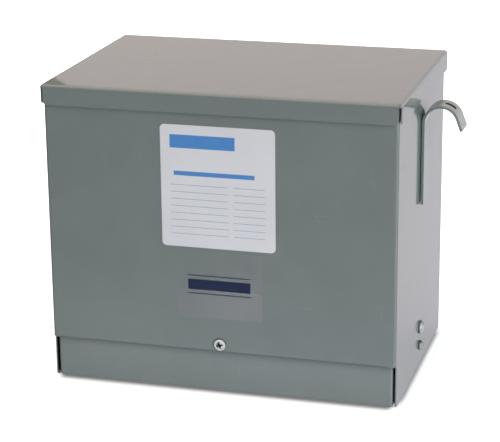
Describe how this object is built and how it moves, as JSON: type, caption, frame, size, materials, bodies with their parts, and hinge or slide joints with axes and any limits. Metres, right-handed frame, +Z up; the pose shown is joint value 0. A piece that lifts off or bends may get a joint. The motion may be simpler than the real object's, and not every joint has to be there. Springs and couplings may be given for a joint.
{
  "type": "dry-type transformer in a sheet-steel case",
  "caption": "Dry-type transformer in a grey folded-steel case: overhanging lid, screwed front cover over a recessed sill, and a bent-strap lifting hook on each side.",
  "frame": {"origin": "on the floor under the middle of the lid, the bounding box's bottom centre", "axes": "+Z up, -Y out of the front cover, +X to the right hook as seen from the front"},
  "size_m": [0.4934, 0.2806, 0.347],
  "materials": {
    "case_paint": "semi-gloss grey baked enamel on folded sheet steel",
    "hook_paint": "semi-gloss grey baked enamel on bent flat strap",
    "zinc_plate": "bright zinc plate",
    "label_print": "white printed vinyl label with blue rules",
    "clear_film": "clear film sticker with a dark blue band",
    "resin": "dark cast resin and sand filling"
  },
  "bodies": {
    "root": {"base_pan": "case_paint", "left_wall": "case_paint", "right_wall": "case_paint", "back_wall": "case_paint", "front_cover": "case_paint", "lid": "case_paint", "left_hook": "hook_paint", "right_hook": "hook_paint", "cover_screw": "zinc_plate", "cover_nut": "zinc_plate", "left_upper_bolt": "zinc_plate", "left_upper_nut": "zinc_plate", "left_lower_bolt": "case_paint", "left_lower_nut": "zinc_plate", "right_upper_bolt": "zinc_plate", "right_upper_nut": "zinc_plate", "right_lower_bolt": "case_paint", "right_lower_nut": "zinc_plate", "left_core_angle": "case_paint", "right_core_angle": "case_paint", "core_shelf": "case_paint", "potted_core": "resin"}
  },
  "joints": []
}
